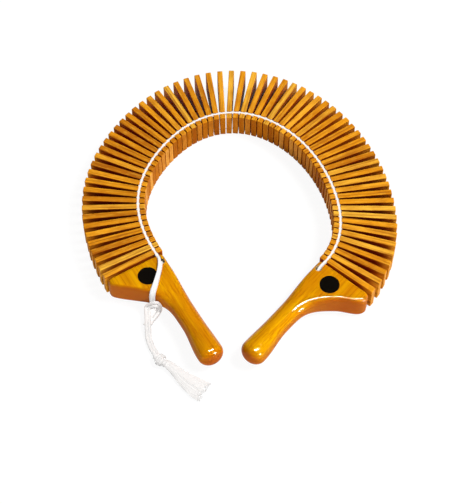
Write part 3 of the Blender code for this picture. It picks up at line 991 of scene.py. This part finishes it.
def make_tail(at, degrees, white_cord, greyer_cord):
    """Both cord ends: over the left head, tied, along the table, tied again and frayed out."""
    body = "left_handle"
    knots = []
    for route in (KNOT_OUTER, KNOT_INNER):
        path = stand(curve_through(route, ROUTE_STEP), at, degrees)
        knots.append(rope(path, ROPE_START, LOOSE_RADIUS, swell=sunk_ends(path)))
    first_knot = make_rope("first_knot", knots, greyer_cord, body)
    second_knot = make_second_knot(at, degrees, greyer_cord)
    tassel = make_tassel(at, degrees, greyer_cord)
    upper = {"a": (STRAND_A, [first_knot], ("cord_tail",)), "b": (STRAND_B, [], ())}
    for letter, (route, carried, nodes) in upper.items():
        path = stand(curve_through(route, TAIL_STEP), at, degrees)
        laid = [rope(path, ROPE_START, STRAND_RADIUS)]
        piece = make_rope("tail_strand_" + letter, laid, white_cord, body, *nodes)
    beside = LOOSE_APART * LOOSE_RADIUS
    lower = {"a": (-beside, [second_knot, tassel]), "b": (beside, [])}
    for letter, (distance, carried) in lower.items():
        path = stand(aside(curve_through(TAIL_END, TAIL_STEP), distance), at, degrees)
        laid = [rope(path, UP, LOOSE_RADIUS, swell=sunk_ends(path, last=False))]
        piece = make_rope("tail_end_" + letter, laid, greyer_cord, body)


def make_second_knot(at, degrees, material):
    """A tight overhand knot: windings round the tail's line, flattened by lying, over a thick core.

    The windings are a helix with an oval section, drawn in at both ends by a root of half a sine wave.
    """
    turn = np.linspace(0, 2 * np.pi * SECOND_KNOT_TURNS, WINDING_POINTS)
    share = turn / turn[-1]
    drawn = WINDING_ENDS + (1 - WINDING_ENDS) * np.sin(np.pi * share) ** 0.5
    path = np.array(SECOND_KNOT) + SECOND_KNOT_ALONG * SECOND_KNOT_LENGTH * (share - 0.5)[:, None]
    path += SECOND_KNOT_ACROSS * (SECOND_KNOT_HALF_WIDTH * drawn * np.cos(turn))[:, None]
    path += UP * (SECOND_KNOT_HALF_HEIGHT * drawn * np.sin(turn))[:, None]
    reach = np.linspace(-CORE_REACH, CORE_REACH, CORE_POINTS)
    core = np.array(SECOND_KNOT) + SECOND_KNOT_ALONG * reach[:, None]
    level = stand(SECOND_KNOT_ALONG, (0, 0), degrees)
    ropes = [rope(stand(path, at, degrees), level, WINDING_RADIUS)]
    ropes.append(rope(stand(core, at, degrees), UP, CORE_RADIUS))
    return make_rope("second_knot", ropes, material, "left_handle")


def tassel_line():
    """The tassel's line on the table, the direction across it, and its half width and half height."""
    line = curve_through([(*point, 0.0) for point in TASSEL], TASSEL_STEP)
    share = np.linspace(0, 1, len(line))
    given = np.linspace(0, 1, len(TASSEL))
    across = np.cross(UP, unit(np.gradient(line, axis=0)))
    half_width = np.interp(share, given, TASSEL_HALF_WIDTHS)
    half_height = np.interp(share, given, TASSEL_HALF_HEIGHTS)
    return line, share, across, half_width, half_height


def make_tassel(at, degrees, material):
    """The frayed end: a soft flat body under thin yarns that wave a little and end unevenly."""
    line, share, across, half_width, half_height = tassel_line()
    turn = np.linspace(0, 2 * np.pi, TASSEL_BODY_SIDES, endpoint=False)
    wide, tall = TASSEL_BODY
    sideways = np.cos(turn)[None, :, None] * (wide * half_width)[:, None, None] * across[:, None]
    upwards = ((1 + np.sin(turn)[None]) * tall * half_height[:, None])[..., None] * UP
    body = (line[:, None] + sideways + upwards)[:-TASSEL_BODY_SHORTER]
    lay = np.stack(np.broadcast_arrays(turn[None] / 2, share[:-TASSEL_BODY_SHORTER, None], 0.0), axis=-1)
    # Painted shade over the whole body under the yarns
    ropes = [(stand(body, at, degrees), lay, np.full(body.shape[:2], TASSEL_BODY_SHADE))]
    for _ in range(TASSEL_YARNS):
        place = RNG.uniform(-1, 1)
        phase = RNG.uniform(0, 2 * np.pi)
        wave = RNG.uniform(*YARN_WAVE)
        keep = share <= RNG.triangular(*YARN_ENDS)
        drift = place * half_width + wave * np.sin(2 * np.pi * YARN_WAVES * share + phase) * share
        height = half_height * (1 + math.sqrt(1 - place * place)) + RNG.uniform(*YARN_LIFT)
        path = line + across * drift[:, None] + UP * np.maximum(height, YARN_RADIUS)[:, None]
        ropes.append(yarn(stand(path[keep], at, degrees)))
    return make_rope("tassel", ropes, material, "left_handle", "tail_tassel")


def yarn(path):
    """A thin yarn: six-sided rings along a path that thin out at its end."""
    along = unit(np.gradient(path, axis=0))
    side = unit(np.cross(UP, along))
    up = np.cross(along, side)
    turn = np.linspace(0, 2 * np.pi, YARN_SIDES, endpoint=False)
    reach = YARN_RADIUS * np.linspace(*YARN_TAPER, len(path))
    round_it = np.cos(turn)[None, :, None] * side[:, None] + np.sin(turn)[None, :, None] * up[:, None]
    grid = path[:, None] + reach[:, None, None] * round_it
    run = np.linspace(0, 0.5, len(path))
    lay = np.stack(np.broadcast_arrays(turn[None] / (2 * np.pi), run[:, None], 0.0), axis=-1)
    # Painted shade on the yarn's underside
    furrow = np.broadcast_to((0.5 - 0.5 * np.sin(turn))[None] * YARN_UNDERSIDE_SHADE, grid.shape[:2])
    return grid, lay, furrow


# Table, light and camera


def make_table():
    """A plain white table that keeps soft shadows.

    Most of what the camera and the lacquer see of it is its own even white, and the rest takes the light.
    """
    mesh = bpy.data.meshes.new("table")
    sides = ((-1, -1), (1, -1), (1, 1), (-1, 1))
    corners = [(x * TABLE_HALF, y * TABLE_HALF, -TABLE_DROP) for x, y in sides]
    mesh.from_pydata(corners, [], [(0, 1, 2, 3)])
    table = bpy.data.objects.new("table", mesh)
    bpy.context.scene.collection.objects.link(table)
    made, tree, shader = start_material("white_table")
    feed_all(tree, shader, Base_Color=TABLE_GREY, Roughness=0.9, Specular_IOR_Level=0.1)
    glow = add(tree, "ShaderNodeEmission", Color=WHITE, Strength=TABLE_GLOW)
    rays = add(tree, "ShaderNodeLightPath").outputs
    mirrored = calculated(tree, "MAXIMUM", rays["Is Glossy Ray"], rays["Is Transmission Ray"])
    seen = calculated(tree, "MAXIMUM", rays["Is Camera Ray"], mirrored)
    both = add(tree, "ShaderNodeMixShader", Fac=calculated(tree, "MULTIPLY", seen, TABLE_GLOW_SHARE))
    feed(tree, both.inputs[1], shader.outputs["BSDF"])
    feed(tree, both.inputs[2], glow.outputs["Emission"])
    feed_all(tree, tree.nodes["Material Output"], Surface=both.outputs["Shader"])
    mesh.materials.append(made)


def make_lamp(name, place, width, height, watts, aim=(0.0, 0.0, 0.0), on_gloss=True, on_matt=True):
    """A soft box that faces its aim, with its width level, for reflections, for plain light or for both."""
    lamp = bpy.data.lights.new(name, "AREA")
    lamp.shape = "RECTANGLE"
    lamp.size, lamp.size_y = width, height
    lamp.energy = watts
    made = bpy.data.objects.new(name, lamp)
    bpy.context.scene.collection.objects.link(made)
    made.location = place
    back = Vector(place) - Vector(aim)
    made.rotation_euler = back.to_track_quat("Z", "Y").to_euler()
    made.visible_glossy = on_gloss
    made.visible_diffuse = on_matt
    return made


def light_only(lamps, *finishes):
    """Lamps that fall on the pieces with certain finishes alone, as small cards held close to them would."""
    lit = bpy.data.collections.new("lit_" + finishes[0])
    for piece in bpy.data.objects:
        if any(finish in piece.material_slots for finish in finishes):
            lit.objects.link(piece)
    for lamp in lamps:
        lamp.light_linking.receiver_collection = lit


def make_light():
    """Soft boxes for the wood and the table, glossy strips for the lacquer, small cards for the cords."""
    boxes = [
        make_lamp("key_box", (2.00, 0.18, 3.00), 1.2, 1.2, 136.0, on_gloss=False),
        make_lamp("fill_box", (1.20, -2.30, 0.50), 1.2, 0.5, 36.0, on_gloss=False),
        make_lamp("left_box", (-1.70, -1.90, 0.40), 1.2, 0.4, 15.0, on_gloss=False),
        make_lamp("rim_box", (-1.80, 1.80, 0.80), 1.0, 0.5, 14.0, on_gloss=False),
    ]
    light_only(boxes, "varnished_slat", "amber_lacquer", "white_table")
    strips = [
        make_lamp("strip_box", (0.40, -0.44, 1.40), 1.25, 0.4, 290.0, (0.24, 0.0, 0.0), on_matt=False),
        make_lamp("glint_box", (1.15, -0.96, 0.54), 0.4, 0.4, 75.0, on_matt=False),
    ]
    light_only(strips, "amber_lacquer")
    cards = [
        make_lamp("front_card", (0.0, -0.45, 1.60), 0.2, 0.2, 28.6),
        make_lamp("back_card", (0.0, 1.20, 0.60), 0.2, 0.2, 4.0),
    ]
    for card in cards:
        card.data.use_shadow = False
    light_only(cards, "clean_cotton", "worn_cotton")


def make_world():
    """A white world for the camera that lights the pieces only faintly."""
    world = bpy.data.worlds.new("studio")
    bpy.context.scene.world = world
    world.use_nodes = True
    tree = world.node_tree
    tree.nodes.clear()
    seen = add(tree, "ShaderNodeLightPath").outputs["Is Camera Ray"]
    strength = mapped(tree, seen, 0.0, 1.0, WORLD_STRENGTH, 1.0)
    shade = add(tree, "ShaderNodeBackground", Color=WHITE, Strength=strength)
    add(tree, "ShaderNodeOutputWorld", Surface=shade.outputs["Background"])


def make_camera():
    """The photograph's view: from the handles' side, well above the table."""
    camera = bpy.data.cameras.new("camera")
    camera.sensor_width = CAMERA_SENSOR
    camera.lens = CAMERA_LENS
    camera.clip_end = CAMERA_REACH
    made = bpy.data.objects.new("camera", camera)
    bpy.context.scene.collection.objects.link(made)
    made.location = CAMERA_PLACE
    made.rotation_euler = (math.radians(90 - CAMERA_HEIGHT_DEGREES), 0.0, 0.0)
    bpy.context.scene.camera = made
    bpy.context.scene.view_settings.view_transform = "Standard"


# Whole object


def make_kokiriko():
    """Every piece of the object, from the slats to the tail."""
    axes, pointing = fan()
    wood, lacquer = varnished_slat(), amber_lacquer()
    # Two tones of one cotton: white on the strung cord, the turns and the strands over the head, greyer from
    # the first knot on
    white_cord, greyer_cord = cotton("clean_cotton", COTTON), cotton("worn_cotton", COTTON_GREYER)
    make_slats(axes, pointing, wood)
    make_strung_cord(axes, white_cord)
    left, right = pointing[0] + LEFT_HANDLE_TURN, pointing[-1] - RIGHT_HANDLE_TURN
    make_handle("left", axes[0], left, lacquer)
    make_handle("right", axes[-1], right, lacquer, mirror=True)
    make_cord_turn("right", right_turn(), axes[-1], right, white_cord, mirror=True)
    make_cord_turn("left", left_turn(), axes[0], left, white_cord)
    make_tail(axes[0], left, white_cord, greyer_cord)


make_camera()
make_table()
make_kokiriko()
make_light()
make_world()
